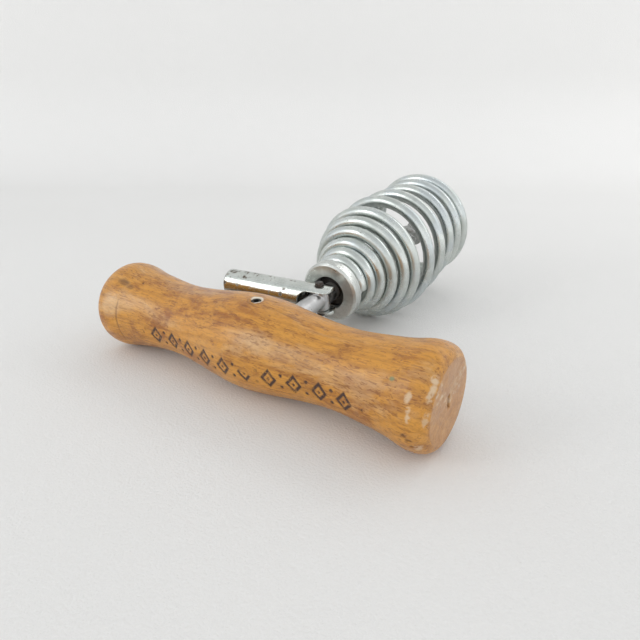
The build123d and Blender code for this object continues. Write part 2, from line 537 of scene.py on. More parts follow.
def wood_material():
    """Golden beech with darker flames, growth rings, fibres, flecks, pores and painted marks; one set of
    pale marks is partly a painted sheen highlight.
    """
    n = Nodes("varnished_beech")
    place = n.place()
    bend = n.noise(place, 55.0, 2.0, 0.5)
    flame = n.noise(n.scaled(place, (62, 150, 150)), 1.0, 3.0, 0.62, 1.3)
    scales = n.noise(n.scaled(place, (330, 620, 620)), 1.0, 3.0, 0.6, 0.8)
    flecks = n.noise(n.scaled(place, (430, 2100, 2100)), 1.0, 2.5, 0.6, 0.8)
    pores = n.noise(n.scaled(place, (1100, 9500, 9500)), 1.0, 1.0, 0.5)
    fibres = n.noise(n.scaled(place, (110, 2300, 2300)), 1.0, 3.0, 0.6)

    pith = n.add("ShaderNodeVectorMath", {0: place, 1: PITH}, operation="SUBTRACT")
    across = n.scaled(pith.outputs[0], (0.05, 1.0, 1.0))
    reach = n.add("ShaderNodeVectorMath", {0: across}, operation="LENGTH").outputs["Value"]
    reach = n.math("ADD", reach, n.math("MULTIPLY", bend, 0.006))
    rings = n.math("SINE", n.math("MULTIPLY", reach, 2600.0))
    rings = n.band(rings, 0.1, 1.0)

    flame_amount = n.band(flame, 0.42, 0.66)
    colour = n.mix(flame_amount, GOLDEN, FLAME_BROWN)
    colour = n.mix(n.band(scales, 0.42, 0.66, 0.0, 0.50), colour, SCALE_GOLD)
    colour = n.mix(n.band(bend, 0.38, 0.66, 0.0, 0.30), colour, SOFT_GOLD)
    pale = n.noise(n.scaled(place, (36, 120, 120)), 1.0, 4.0, 0.62, 0.6)
    colour = n.mix(n.band(pale, 0.50, 0.68, 0.0, 0.42), colour, PALE_WOOD)
    colour = n.mix(n.math("MULTIPLY", rings, 0.26), colour, RING_BROWN)
    colour = n.mix(n.band(fibres, 0.48, 0.74, 0.0, 0.45), colour, FIBRE_BROWN)
    fleck_amount = n.band(flecks, 0.53, 0.63)
    fleck_amount = n.math("MULTIPLY", fleck_amount, n.band(flame, 0.34, 0.58, 0.25, 0.75))
    colour = n.mix(fleck_amount, colour, FLECK_BROWN)
    colour = n.mix(n.band(pores, 0.62, 0.75, 0.0, 0.40), colour, PORE_BROWN)

    end = n.attribute("end_face")
    end_tone = n.mix(n.band(scales, 0.35, 0.7), END_LIGHT, END_DARK)
    colour = n.mix(n.math("MULTIPLY", end, 0.62), colour, end_tone)
    # pale scuffs and a painted sheen highlight
    haze = n.math("MULTIPLY", n.attribute("haze"), n.band(scales, 0.3, 0.6, 0.5, 1.0))
    colour = n.mix(haze, colour, SCUFF_AND_SHEEN_TONE)
    bare = n.math("MULTIPLY", n.attribute("bare"), n.band(scales, 0.36, 0.50))
    colour = n.mix(bare, colour, BARE_WOOD)
    grime_and_shade = n.math("MULTIPLY", n.attribute("grime_and_shade"), n.band(scales, 0.25, 0.6, 0.55, 1.0))
    colour = n.mix(grime_and_shade, colour, GRIME_BROWN)
    colour = n.mix(n.attribute("green_speck"), colour, GREEN_SPECK)
    colour = n.mix(n.attribute("pale_rim"), colour, TORN_RIM)
    burn_noise = n.noise(place, 900.0, 3.0, 0.6)
    burn = n.math("MULTIPLY", n.attribute("burn"), n.band(burn_noise, 0.30, 0.48, 0.55, 1.0))
    colour = n.mix(burn, colour, BURNT_BLACK)

    rough = n.band(n.noise(place, 140.0, 3.0, 0.6), 0.35, 0.68, 0.36, 0.50)
    rough = n.math("ADD", rough, n.math("MULTIPLY", grime_and_shade, 0.15))
    rough = n.math("SUBTRACT", rough, n.math("MULTIPLY", bare, 0.12))
    rough = n.math("ADD", rough, n.math("MULTIPLY", burn, 0.2))
    height = n.math("SUBTRACT", n.math("MULTIPLY", fibres, 0.5), n.math("MULTIPLY", fleck_amount, 0.8))
    height = n.math("SUBTRACT", height, n.math("MULTIPLY", n.band(pores, 0.62, 0.75), 0.5))
    height = n.math("ADD", height, n.math("MULTIPLY", scales, 0.5))
    n.set(
        Base_Color=colour,
        Roughness=rough,
        Normal=n.bump(height, 0.000035),
        Specular_IOR_Level=0.40,
        Coat_Weight=0.42,
        Coat_Roughness=0.27,
    )
    return n.material


def metal_material(
    name,
    bright,
    dull,
    roughness,
    tint=None,
    pitting=(0.62, 0.72),
    attribute=None,
    streak_scale=(1.0, 1.0, 1.0),
    streak_strength=0.3,
    stain_and_shade=(0.10, 0.075, 0.05),
    bump=0.000012,
):
    """Worn metal: cloudy tone, fine streaks along the working direction, pits, stains, and painted shade
    where a piece's dirt amount darkens hollows and gaps.
    """
    n = Nodes(name)
    place = n.place()
    streak_place = n.attribute(attribute, "Vector") if attribute else place
    streaks = n.noise(n.scaled(streak_place, streak_scale), 1.0, 3.0, 0.6)
    clouds = n.noise(place, 170.0, 4.0, 0.6, 0.3)
    patches = n.noise(place, 95.0, 3.0, 0.55)
    specks = n.noise(place, 1300.0, 2.0, 0.6)
    scratches = n.noise(n.scaled(place, (900, 5200, 2600)), 1.0, 2.0, 0.5, 0.6)
    colour = n.mix(n.band(clouds, 0.34, 0.66), dull, bright)
    if tint is not None:
        colour = n.mix(n.band(patches, 0.44, 0.64, 0.0, 0.7), colour, tint)
    colour = n.mix(n.band(streaks, 0.35, 0.75, 0.0, streak_strength), colour, dull)
    pits = n.math("MULTIPLY", n.band(specks, *pitting), n.band(clouds, 0.42, 0.60))
    # per-vertex amount of dirt and painted shade; the stain colour paints both
    grime_and_shade = n.math("MAXIMUM", pits, n.attribute("grime_and_shade"))
    colour = n.mix(grime_and_shade, colour, stain_and_shade)
    rough = n.band(clouds, 0.30, 0.70, roughness + 0.07, roughness - 0.04)
    rough = n.math("ADD", rough, n.band(streaks, 0.3, 0.7, -0.03, 0.06))
    rough = n.math("ADD", rough, n.band(scratches, 0.62, 0.74, 0.0, 0.12))
    rough = n.math("ADD", rough, n.math("MULTIPLY", grime_and_shade, 0.4))
    height = n.math("MULTIPLY", streaks, 0.7)
    height = n.math("SUBTRACT", height, n.math("MULTIPLY", grime_and_shade, 1.2))
    height = n.math("SUBTRACT", height, n.band(scratches, 0.62, 0.74, 0.0, 0.6))
    n.set(
        Base_Color=colour,
        Metallic=n.math("SUBTRACT", 1.0, n.math("MULTIPLY", grime_and_shade, 0.85)),
        Roughness=rough,
        Normal=n.bump(height, bump),
    )
    return n.material


wood = wood_material()
lever_metal = metal_material(
    "worn_nickel", (0.66, 0.69, 0.66), (0.54, 0.57, 0.54), 0.18, streak_scale=(150, 2600, 2600)
)
turned_metal = metal_material(
    "turned_steel",
    (0.74, 0.76, 0.73),
    (0.54, 0.56, 0.54),
    0.24,
    stain_and_shade=(0.070, 0.070, 0.064),
    attribute="turned_place",
    streak_scale=(4.0, 4.0, 0.2),
    streak_strength=0.4,
    bump=0.00003,
)
wire_metal = metal_material(
    "zinc_plated_wire",
    (0.66, 0.695, 0.67),
    (0.52, 0.555, 0.53),
    0.27,
    tint=(0.56, 0.61, 0.64),
    pitting=(0.66, 0.76),
    stain_and_shade=(0.17, 0.175, 0.140),
    attribute="wire_place",
    streak_scale=(2.2, 2.2, 0.10),
    streak_strength=0.45,
    bump=0.00003,
)
shank_metal = metal_material(
    "bright_shank", (0.54, 0.54, 0.54), (0.44, 0.44, 0.44), 0.30, streak_scale=(1500, 120, 1500)
)
# near-black metal: rust on the pins, and painted shade on the thrust washer in the collar's recess
dark_pin_metal = metal_material(
    "rusty_pin_and_recess_shade",
    (0.13, 0.125, 0.12),
    (0.06, 0.055, 0.05),
    0.42,
    pitting=(0.50, 0.62),
    stain_and_shade=(0.045, 0.03, 0.022),
    bump=0.00006,
)
steel_pin_metal = metal_material(
    "rolled_pin", (0.74, 0.74, 0.72), (0.50, 0.49, 0.46), 0.30, pitting=(0.55, 0.68)
)
worm_metal = metal_material(
    "ground_worm",
    (0.62, 0.62, 0.60),
    (0.42, 0.42, 0.41),
    0.30,
    attribute="wire_place",
    streak_scale=(2.0, 2.0, 0.25),
    streak_strength=0.4,
    pitting=(0.55, 0.70),
    bump=0.00003,
)


# ------------------------------------------------------------------ turned handle
BURN_CENTRE = radians(-4.5)  # turn from the front of the handle to the middle of the row
BURN_ROW = (-30.0, 34.0)  # x of the first and the last lozenge
BURN_COUNT = 10
LOZENGE_HALF_LENGTH = 2.35
LOZENGE_HALF_HEIGHT = 2.95
DOT_HEIGHT = 1.75
KNOCK_COUNT = 46
LATHE_PITCH = 1.15  # distance between faint turning marks
RING_LINE_X = -45.1
DARK_MARKS = [  # x, angle in degrees (0 front, 90 top), half length, half height, strength
    (-46.0, 61.0, 2.3, 1.2, 0.66),
    (-43.2, 58.0, 1.6, 0.9, 0.58),
    (-40.2, 71.4, 0.45, 0.40, 1.0),
    (-50.5, 40.0, 3.0, 2.6, 0.16),
    (5.97, 99.1, 0.55, 0.28, 0.9),
    (50.2, -9.4, 0.8, 0.5, 0.85),
    (51.3, -14.0, 1.0, 0.4, 0.75),
    (51.8, -23.3, 0.6, 0.5, 0.8),
    (49.2, -17.0, 0.5, 0.4, 0.6),
    (38.6, -4.0, 0.5, 0.35, 0.5),
    (12.0, 84.0, 3.5, 0.25, 0.35),
]
# pale whitish marks: the first is scuffing at the left bulb, the others are a painted sheen highlight
# along the front
SCUFF_AND_SHEEN_MARKS = [
    (-47.5, 25.0, 3.6, 4.2, 0.40),
    (13.0, 33.0, 12.0, 2.6, 0.22),
    (24.0, 28.0, 6.0, 2.0, 0.18),
    (-8.0, 12.0, 9.0, 2.2, 0.12),
]
GREEN_MARKS = [(45.5, 43.3, 0.75, 0.55, 0.9)]
BARE_MARKS = [
    (50.3, 31.0, 0.8, 1.3, 0.8),
    (50.9, 20.0, 0.6, 0.9, 0.7),
    (51.0, 12.0, 0.7, 1.4, 0.8),
    (54.2, 55.0, 0.8, 1.2, 0.9),
    (54.4, 40.0, 0.6, 2.6, 0.9),
    (54.4, 12.0, 0.5, 2.2, 0.6),
    (53.0, -26.0, 1.1, 1.3, 0.6),
    (-54.3, 20.0, 0.8, 4.5, 0.5),
    (-54.0, 75.0, 0.9, 3.0, 0.5),
    (-53.9, -60.0, 0.9, 3.5, 0.6),
    (54.3, 150.0, 0.8, 4.0, 0.7),
    (-54.2, 190.0, 0.8, 5.0, 0.6),
]


def turn_from(start, angle):
    """Signed turn from start to angle, from -pi to pi."""
    return (angle - start + pi) % (2 * pi) - pi


def spots_field(marks, x, angle, radius):
    """Strongest of a list of soft oval marks on the turned surface."""
    total = np.zeros(len(x))
    for mark_x, mark_angle, half_length, half_height, strength in marks:
        turn = turn_from(radians(mark_angle), angle)
        reach = np.hypot((x - mark_x) / half_length, turn * radius / half_height)
        total = np.maximum(total, strength * (1 - step_up(reach, 0.55, 1.15)))
    return total


def burnt_row(x, height):
    """Row of burnt lozenges with dots between them; height is the distance from its middle."""
    first, last = BURN_ROW
    pitch = (last - first) / (BURN_COUNT - 1)
    nearest = first + np.round((x - first) / pitch) * pitch
    inside = (x > first - pitch * 0.75) & (x < last + pitch * 0.75)
    lozenge = np.abs(x - nearest) / LOZENGE_HALF_LENGTH + np.abs(height) / LOZENGE_HALF_HEIGHT
    outline = (1 - step_up(lozenge, 0.92, 1.06)) * step_up(lozenge, 0.50, 0.62)
    middle = 1 - step_up(lozenge, 0.14, 0.26)
    between = first + (np.floor((x - first) / pitch) + 0.5) * pitch
    dots = 1 - step_up(np.hypot(x - between, np.abs(height) - DOT_HEIGHT), 0.38, 0.62)
    dots *= (x > first) & (x < last)
    return np.maximum(np.maximum(outline, middle), dots) * inside


def handle_outline():
    """Outline of (x, radius) from the middle of the left end face to that of the right one."""
    middle = cubic_curve(
        [(-x, r) for x, r in reversed(HANDLE_HALF_OUTLINE[1:])] + HANDLE_HALF_OUTLINE,
        341,
        (1, 0),
        (1, 0),
    )
    rounding = cubic_curve(HANDLE_ROUNDING, 26, (1, 0), (0.2, -1))[1:]
    end_x, end_r = HANDLE_ROUNDING[-1]
    face_radii = np.linspace(end_r, 0.15, 36)[1:]
    face = np.stack([np.full(len(face_radii), end_x), face_radii], axis=1)
    right = np.concatenate([rounding, face])
    left = right[::-1] * (-1, 1)
    return np.concatenate([left, middle, right])


def knocks(x, angle, radius):
    """Depth of shallow dents at random places."""
    depth = np.zeros(len(x))
    for _ in range(KNOCK_COUNT):
        dent_x = rng.uniform(-53, 53)
        dent_angle = rng.uniform(0, 2 * pi)
        size = rng.uniform(0.5, 2.0)
        turn = turn_from(dent_angle, angle)
        reach = np.hypot((x - dent_x) / rng.uniform(1.0, 1.9), turn * radius) / size
        depth += rng.uniform(0.03, 0.13) * np.exp(-(reach**2) * 1.5)
    return depth


def pin_hole_marks(points, ragged):
    """Height, dirt and bright torn rim round both ends of the handle pin."""
    x, y, z = points.T
    reach = np.hypot(x - HANDLE_PIN_X, y) + 0.5 * ragged
    here = (np.abs(z) > 5) & (np.abs(x) < 6)
    hole = (1 - step_up(reach, HANDLE_PIN_R, HANDLE_PIN_R + 0.22)) * here
    lip = np.exp(-(((reach - 1.85) / 0.4) ** 2)) * here
    bright_rim = (1 - step_up(reach, 1.8, 2.1)) * step_up(reach, 1.2, 1.4) * here
    outer_line = (1 - step_up(reach, 2.2, 2.6)) * step_up(reach, 1.9, 2.1) * here
    broken = step_up(waves(points, 3.2, 27, 3), -0.15, 0.25)
    dirt = np.maximum(0.45 * outer_line, 0.97 * hole)
    return 0.07 * lip - 1.6 * hole, dirt, bright_rim * broken


def ring_line_marks(x, angle, points):
    """Thin dark line part of the way round, near the left end."""
    wander = 0.3 * waves(points, 9.0, 31, 2)
    line = 1 - step_up(np.abs(x - RING_LINE_X + wander), 0.10, 0.32)
    return line * (1 - step_up(np.abs(turn_from(radians(2), angle)), radians(24), radians(38)))


def shank_hole_marks(points):
    """Depth and dirt of the edge where the shank enters the handle."""
    x, y, z = points.T
    reach = np.hypot(x, z) - SHANK_R
    beside = y > 5
    sunk = (1 - step_up(reach, 0.1, 0.55)) * beside
    dirt = (1 - step_up(reach, 0.2, 1.3)) * beside
    return 0.55 * sunk, 0.7 * dirt


def spur_slit(points, ragged):
    """Slot that the spur of the lathe left in the middle of each end face."""
    across = np.abs(points[:, 1] + 0.12 * ragged) - SPUR_WIDTH / 2
    along = np.abs(points[:, 2] + 0.2 * ragged) - SPUR_LENGTH / 2
    return 1 - step_up(np.maximum(across, along), -0.05, 0.22)


def make_handle():
    columns = 312
    outline = handle_outline()
    end_x, end_r = HANDLE_ROUNDING[-1]
    slope = np.gradient(outline, axis=0)
    slope /= np.linalg.norm(slope, axis=1)[:, None]

    phi = np.linspace(0, 2 * pi, columns, endpoint=False)
    x = np.repeat(outline[:, 0], columns)
    radius = np.repeat(outline[:, 1], columns)
    angle = np.tile(phi, len(outline))
    normal_x = np.repeat(-slope[:, 1], columns)
    normal_r = np.repeat(slope[:, 0], columns)
    points = np.stack([x, -radius * np.cos(angle), radius * np.sin(angle)], axis=1)

    is_face = step_up(np.abs(x), end_x - 0.25, end_x - 0.02) * (radius < end_r + 0.05)
    shift = 0.10 * waves(points, 42.0, 3, 2) + 0.020 * waves(points, 3.4, 5, 3)
    shift += 0.012 * np.sin(x * 2 * pi / LATHE_PITCH) * (1 - is_face)
    shift -= knocks(x, angle, radius)

    grime_and_shade = spots_field(DARK_MARKS, x, angle, radius)
    ragged = 0.30 * waves(points, 2.2, 8, 3)
    bare = spots_field(BARE_MARKS, x + ragged, angle + ragged / 12, radius)
    # pale scuffs and a painted sheen highlight
    haze = spots_field(SCUFF_AND_SHEEN_MARKS, x, angle, radius)
    green = spots_field(GREEN_MARKS, x, angle, radius)
    height = turn_from(BURN_CENTRE, angle) * radius
    burn = burnt_row(x + 0.10 * ragged, height + 0.10 * ragged)
    worn = 0.55 * waves(points, 9.0, 21, 3) + 0.9 * np.exp(-(((x - 8.5) / 5.0) ** 2))
    burn *= 1 - step_up(worn + height * 0.06, 0.55, 0.95)

    ring_line = ring_line_marks(x, angle, points)
    grime_and_shade = np.maximum(grime_and_shade, 0.55 * ring_line)

    pin_shift, pin_dirt, pale_rim = pin_hole_marks(points, ragged)
    shift += pin_shift
    grime_and_shade = np.maximum(grime_and_shade, pin_dirt)
    sunk, shank_dirt = shank_hole_marks(points)
    shift -= sunk
    slit = spur_slit(points, ragged) * is_face
    shift -= SPUR_DEPTH * slit
    grime_and_shade = np.maximum(np.maximum(grime_and_shade, shank_dirt), slit)
    shift += is_face * (0.05 * waves(points * (0, 1, 2.5), 5.0, 41, 3) - 0.10 * step_up(radius, 9.0, 3.0))
    shift -= 0.13 * burn + 0.10 * bare + 0.10 * ring_line + 0.25 * grime_and_shade * (grime_and_shade > 0.7) * (1 - slit)

    points[:, 0] += normal_x * shift
    new_radius = radius + normal_r * shift
    points[:, 1] = -new_radius * np.cos(angle)
    points[:, 2] = new_radius * np.sin(angle)
    faces = grid_faces(len(outline), columns) + end_caps(len(outline), columns)
    marks = {
        "end_face": is_face,
        "haze": haze,
        "bare": bare,
        "grime_and_shade": grime_and_shade,
        "green_speck": green,
        "pale_rim": pale_rim,
        "burn": burn,
    }
    mesh = fix_normals(new_mesh("turned_handle", points, faces, marks))
    add_piece("turned_handle", mesh, "grip", wood, ["handle"])


make_handle()


# ------------------------------------------------------------------ shank, lever and pins
def shank_distance(points):
    """Bar, eye and neck, with the hole of the lever pin; it starts inside the handle."""
    x, y, z = points.T
    bar = meet(np.hypot(x, z) - SHANK_R, y - SHOULDER, 0.35)
    eye = meet(np.hypot(x, y - HINGE) - EYE_R, np.abs(z) - EYE_HALF, 0.3)
    neck = meet(np.hypot(x, z) - NECK_R, y - NECK_TOP, 0.5)
    body = join(join(bar, eye, 0.35), neck, 0.3)
    hole = np.hypot(x, y - HINGE) - PIN_R
    return np.maximum(meet(body, -hole, 0.2), SHANK_START - y)


def lever_local(points):
    """Lever coordinates: x toward the nose, z away from the handle, y along the pin."""
    x, y, z = points.T
    y = y - HINGE
    return (
        x * np.cos(LEVER_LEAN) + y * np.sin(LEVER_LEAN),
        -z,
        -x * np.sin(LEVER_LEAN) + y * np.cos(LEVER_LEAN),
    )


LEVER_STAMPS = [(-32.6, 0.2), (-31.5, -0.5), (-30.6, 0.4), (-27.0, -0.1), (-24.6, 0.5), (-22.9, -0.3)]
LEVER_SPOTS = [  # x along the lever, angle (0 away from the handle, 90 up), size, strength
    (-33.2, 98, 0.95, 0.9),
    (-31.8, 103, 0.95, 0.9),
    (-33.9, 120, 0.6, 0.6),
    (-28.4, 86, 0.75, 0.9),
    (-27.4, 83, 0.75, 0.85),
    (-27.2, 118, 0.75, 1.0),
    (-26.3, 122, 0.60, 0.9),
    (-23.8, 77, 0.55, 0.8),
    (-22.4, 84, 0.40, 0.7),
    (-18.5, 85, 0.70, 0.7),
    (-16.4, 92, 0.40, 0.6),
    (-10.2, 88, 0.65, 0.8),
    (-8.9, 90, 0.50, 0.7),
    (-11.0, 140, 0.75, 0.6),
    (-12.0, 162, 0.85, 0.85),
    (-28.8, 159, 0.70, 0.5),
    (-34.3, 157, 0.80, 0.95),
    (-33.8, 10, 1.2, 0.5),
    (-20.0, 10, 1.0, 0.35),
    (-31.0, 200, 1.2, 0.5),
    (-12.0, 250, 1.4, 0.4),
]


def lever_spot_reach(x, y, z, spot_x, degrees_round, size):
    """Distance from the middle of a spot on the rod, in sizes of the spot."""
    spot_y = -LEVER_R * sin(radians(degrees_round))
    spot_z = LEVER_R * cos(radians(degrees_round))
    return np.sqrt((x - spot_x) ** 2 + (y - spot_y) ** 2 + (z - spot_z) ** 2) / size


def lever_distance(points):
    x, y, z = lever_local(points)
    rod = np.hypot(y, z) - LEVER_R
    nose = np.hypot(np.maximum(x, 0), z) - LEVER_R
    body = meet(meet(rod, nose, 0.25), -x - LEVER_LENGTH, 0.5)
    slot = np.hypot(np.minimum(x + SLOT_CENTRE, 0), y) - SLOT_HALF
    body = meet(body, -slot, 0.35)
    bore = np.hypot(x, z) - LEVER_BORE
    body = meet(body, -bore, 0.2)
    return body + lever_dents(x, y, z)


def lever_dents(x, y, z):
    """Shallow stamps on top of the free end and a few knocks."""
    depth = np.zeros(len(x))
    top = y < 0
    for stamp_x, stamp_z in LEVER_STAMPS:
        reach = np.hypot((x - stamp_x) / 0.45, (z - stamp_z) / 1.1)
        depth += 0.07 * np.exp(-(reach**2) * 2.5) * top
    for *spot, strength in LEVER_SPOTS:
        reach = lever_spot_reach(x, y, z, *spot)
        depth += 0.05 * strength * np.exp(-(reach**2) * 2.0)
    return depth


def lever_dirt_and_shade(points):
    x, y, z = lever_local(points)
    ragged = waves(points, 1.7, 51, 3)
    total = np.zeros(len(x))
    for *spot, strength in LEVER_SPOTS:
        reach = lever_spot_reach(x, y, z, *spot)
        total = np.maximum(total, strength * (1 - step_up(reach + 0.35 * ragged, 0.35, 0.95)))
    for stamp_x, stamp_z in LEVER_STAMPS:
        reach = np.hypot((x - stamp_x) / 0.35, (z - stamp_z) / 1.0)
        total = np.maximum(total, 0.8 * (1 - step_up(reach + 0.2 * ragged, 0.6, 1.1)) * (y < 0))
    # dark rim along the slot's edges: partly dirt, partly painted shade of the slot
    slot = np.abs(np.hypot(np.minimum(x + SLOT_CENTRE, 0), y) - SLOT_HALF)
    rim = (1 - step_up(slot + 0.25 * ragged, 0.0, 0.30)) * (np.hypot(y, z) > LEVER_R - 0.6)
    total = np.maximum(total, 0.55 * rim)
    bore = np.hypot(x, z) - LEVER_BORE
    round_pin = (1 - step_up(bore + 0.25 * ragged, 0.1, 0.55)) * (np.abs(y) > 3.0)
    total = np.maximum(total, 0.7 * round_pin)
    free_rim = (1 - step_up(x + LEVER_LENGTH + 0.3 * ragged, 0.1, 0.6)) * (np.hypot(y, z) > LEVER_R - 0.5)
    return np.maximum(total, 0.5 * free_rim)


def shank_dirt_and_shade(points):
    x, y, z = points.T
    ragged = waves(points, 2.0, 61, 3)
    total = 0.6 * (1 - step_up(y + ragged, 13.0, 14.6))
    pin = np.hypot(x, y - HINGE) - PIN_R
    total = np.maximum(total, 0.75 * (1 - step_up(pin + 0.2 * ragged, 0.1, 0.6)) * (np.abs(z) > 2.0))
    # painted shade: the part of the shank inside the collar is darkened
    return np.maximum(total, 0.65 * step_up(y + 0.4 * ragged, 34.6, 36.2))


shank_mesh = solid_mesh(
    "steel_shank", shank_distance, (-3.6, 7.7, -3.6), (3.6, 55.4, 3.6), 0.16, {"grime_and_shade": shank_dirt_and_shade}
)
add_piece("steel_shank", shank_mesh, "grip", shank_metal, ["shank"])

lever_mesh = solid_mesh(
    "forked_lever",
    lever_distance,
    (-36.5, 21.0, -5.2),
    (5.4, 36.5, 5.2),
    0.16,
    {"grime_and_shade": lever_dirt_and_shade},
)
add_piece("forked_lever", lever_mesh, "side_lever", lever_metal, ["lever"])


def lever_pin_distance(points):
    x, y, z = points.T
    wobble = 0.05 * waves(points, 1.6, 71, 2)
    body = np.hypot(x, y - HINGE) - PIN_R + np.maximum(wobble, -0.02) * (np.abs(z) > 4.8)
    dome = np.abs(z) - PIN_HALF + 0.10 * (x**2 + (y - HINGE) ** 2) / PIN_R**2
    return meet(body, dome, 0.3)


pin_mesh = solid_mesh(
    "riveted_pin",
    lever_pin_distance,
    (-1.6, HINGE - 1.6, -6.1),
    (1.6, HINGE + 1.6, 6.1),
    0.11,
    {"grime_and_shade": lambda points: 0.6 * step_up(waves(points, 1.5, 73, 3), -0.1, 0.6)},
)
add_piece("riveted_pin", pin_mesh, "grip", dark_pin_metal, ["lever_pin"])


# ------------------------------------------------------------------ collar
collar_outline = rounded(
    [
        (COLLAR_FACE, RECESS_R, 0.25),
        (COLLAR_FACE, FLANGE_R - 0.75, 0.12),
        (COLLAR_FACE + 0.6, FLANGE_R, 0.15),
        (FLANGE_BACK - 0.5, FLANGE_R, 0.15),
        (FLANGE_BACK, FLANGE_R - 0.5, 0.15),
        (FLANGE_BACK, HUB_R, 0.3),
        (HUB_END - 0.5, HUB_R, 0.12),
        (HUB_END, HUB_R - 0.5, 0.12),
        (HUB_END, COLLAR_BORE, 0.15),
        (RECESS_FLOOR, COLLAR_BORE, 0.15),
        (RECESS_FLOOR, RECESS_R, 0.2),
    ]
)
collar_mesh = lathe("spring_collar", collar_outline, columns=256)


def collar_dulling_and_shade(points):
    """Dull face toward the handle, with painted shade darkening the recess and the hub behind the flange.
    """
    x, y, z = points.T
    radius = np.hypot(x, z)
    ragged = waves(points, 2.5, 81, 3)
    face = (1 - step_up(y, COLLAR_FACE + 0.05, COLLAR_FACE + 0.35)) * (radius < FLANGE_R - 0.45)
    # painted shade: the recess is darkened almost to black
    inside = (1 - step_up(radius, RECESS_R - 0.1, RECESS_R + 0.15)) * (y < HUB_END - 0.3)
    # painted shade on the hub behind the flange, where the spring's first coil sits
    behind = step_up(y, FLANGE_BACK - 0.6, FLANGE_BACK) * (radius < 9.4)
    dull = 0.16 + 0.16 * ragged
    return np.maximum(np.maximum(face * dull, inside * 0.97), behind * 0.12)


add_grime_and_shade(collar_mesh, collar_dulling_and_shade)
add_piece("spring_collar", collar_mesh, "bell", turned_metal, ["collar"])


# ------------------------------------------------------------------ barrel spring
WIRE_END_BEVEL = np.array([0.80, 0.92, 0.98])  # share of the wire's radius at its last three rings


def spring_line():
    """Turn number, distance along the shaft and radius, in close steps along the spring."""
    stations = [(turn, *station) for turn, station in enumerate(COIL_STATIONS)]
    return cubic_curve(stations, 1100).T


def make_spring():
    turn_line, distance_line, radius_line = spring_line()
    turns = np.linspace(0, COIL_TURNS, 1500)
    distance = np.interp(turns, turn_line, distance_line)
    radius = np.interp(turns, turn_line, radius_line)
    angle = turns * 2 * pi
    path = np.stack([radius * np.cos(angle), distance, radius * np.sin(angle)], axis=1)
    from_seat = path[:, 1] - SPRING_SEAT
    path[:, 0] -= from_seat * sin(SPRING_SWING)
    path[:, 1] += path[:, 0] * sin(SPRING_SWING) - path[:, 2] * sin(SPRING_RISE)
    path[:, 2] += from_seat * sin(SPRING_RISE)
    radii = np.full(len(path), WIRE_R)
    for first, second, third, fourth in ((0, 1, 2, 3), (-1, -2, -3, -4)):
        path[second] = path[first] * 0.85 + path[fourth] * 0.15
        path[third] = path[first] * 0.6 + path[fourth] * 0.4
        radii[[first, second, third]] = WIRE_R * WIRE_END_BEVEL
    return tube("barrel_spring", path, radii, 40)


def spring_shade_and_stains(points):
    """Painted shade on the side of the wire that faces the worm, darkening the gaps between the coils,
    and a few small stains.
    """
    x, y, z = points.T
    shift = y - SPRING_SEAT
    x = x + shift * sin(SPRING_SWING)
    z = z - shift * sin(SPRING_RISE)
    turn_line, distance_line, radius_line = spring_line()
    turn = np.interp(y, distance_line, turn_line)
    radius = np.interp(turn, turn_line, radius_line)
    # painted shade: the inner side of each coil is darkened
    inward = step_up(radius - np.hypot(x, z), -0.2, 1.5)
    ragged = waves(points, 5.0, 91, 3)
    return 0.34 * inward + 0.08 * step_up(ragged, 0.2, 0.9)


spring_mesh = make_spring()
add_grime_and_shade(spring_mesh, spring_shade_and_stains)
add_piece("barrel_spring", spring_mesh, "bell", wire_metal, ["bell_spring"])


# ------------------------------------------------------------------ worm and socket
def make_worm():
    """Straight stem in the socket, a lead out to the coil, the coil and a tapered point."""
    climb = np.arctan2(WORM_PITCH, 2 * pi * WORM_COIL_R)
    stem = np.linspace((0, NECK_TOP + 0.1, 0), (0, WORM_LEAD_IN, 0), 12)
    lead_in = cubic_curve(
        [(0, WORM_LEAD_IN, 0), (WORM_COIL_R, WORM_COIL_START, 0)],
        24,
        (0, 1, 0),
        (0, sin(climb), -cos(climb)),
    )[1:]
    turns = np.linspace(0, (WORM_COIL_END - WORM_COIL_START) / WORM_PITCH, 240)[1:]
    coil = np.stack(
        [
            WORM_COIL_R * np.cos(2 * pi * turns),
            WORM_COIL_START + WORM_PITCH * turns,
            -WORM_COIL_R * np.sin(2 * pi * turns),
        ],
        axis=1,
    )
    path = list(np.concatenate([stem, lead_in, coil]))
    radii = [WORM_WIRE_R] * len(path)
    heading = path[-1] - path[-2]
    heading /= np.linalg.norm(heading)
    inward = np.array([-path[-1][0], 0, -path[-1][2]]) / WORM_COIL_R
    steps = 26
    start = path[-1]
    for step in range(1, steps + 1):
        share = step / steps
        reach = share * WORM_POINT
        path.append(start + heading * reach + inward * WORM_POINT_CURL * reach**2)
        radii.append(WORM_WIRE_R * (1 - share) ** 0.8 * 0.93 + 0.10)
    return tube("twisted_worm", path, radii, 36)


add_piece("twisted_worm", make_worm(), "grip", worm_metal, ["worm"])

socket_outline = rounded(
    [
        (SOCKET_START, NECK_R + 0.02, 0.1),
        (SOCKET_START, SOCKET_R - 0.5, 0.15),
        (SOCKET_START + 0.5, SOCKET_R, 0.15),
        (SOCKET_START + 4.2, SOCKET_R, 0.1),
        (SOCKET_START + 4.35, SOCKET_R - 0.12, 0.05),
        (SOCKET_START + 4.6, SOCKET_R - 0.12, 0.05),
        (SOCKET_START + 4.75, SOCKET_R, 0.1),
        (SOCKET_END - 0.5, SOCKET_R, 0.15),
        (SOCKET_END, SOCKET_R - 0.5, 0.15),
        (SOCKET_END, WORM_WIRE_R + 0.02, 0.1),
    ]
)
socket_mesh = lathe("worm_socket_sleeve", socket_outline, columns=128)
add_piece("worm_socket_sleeve", socket_mesh, "grip", turned_metal, ["worm_socket"])

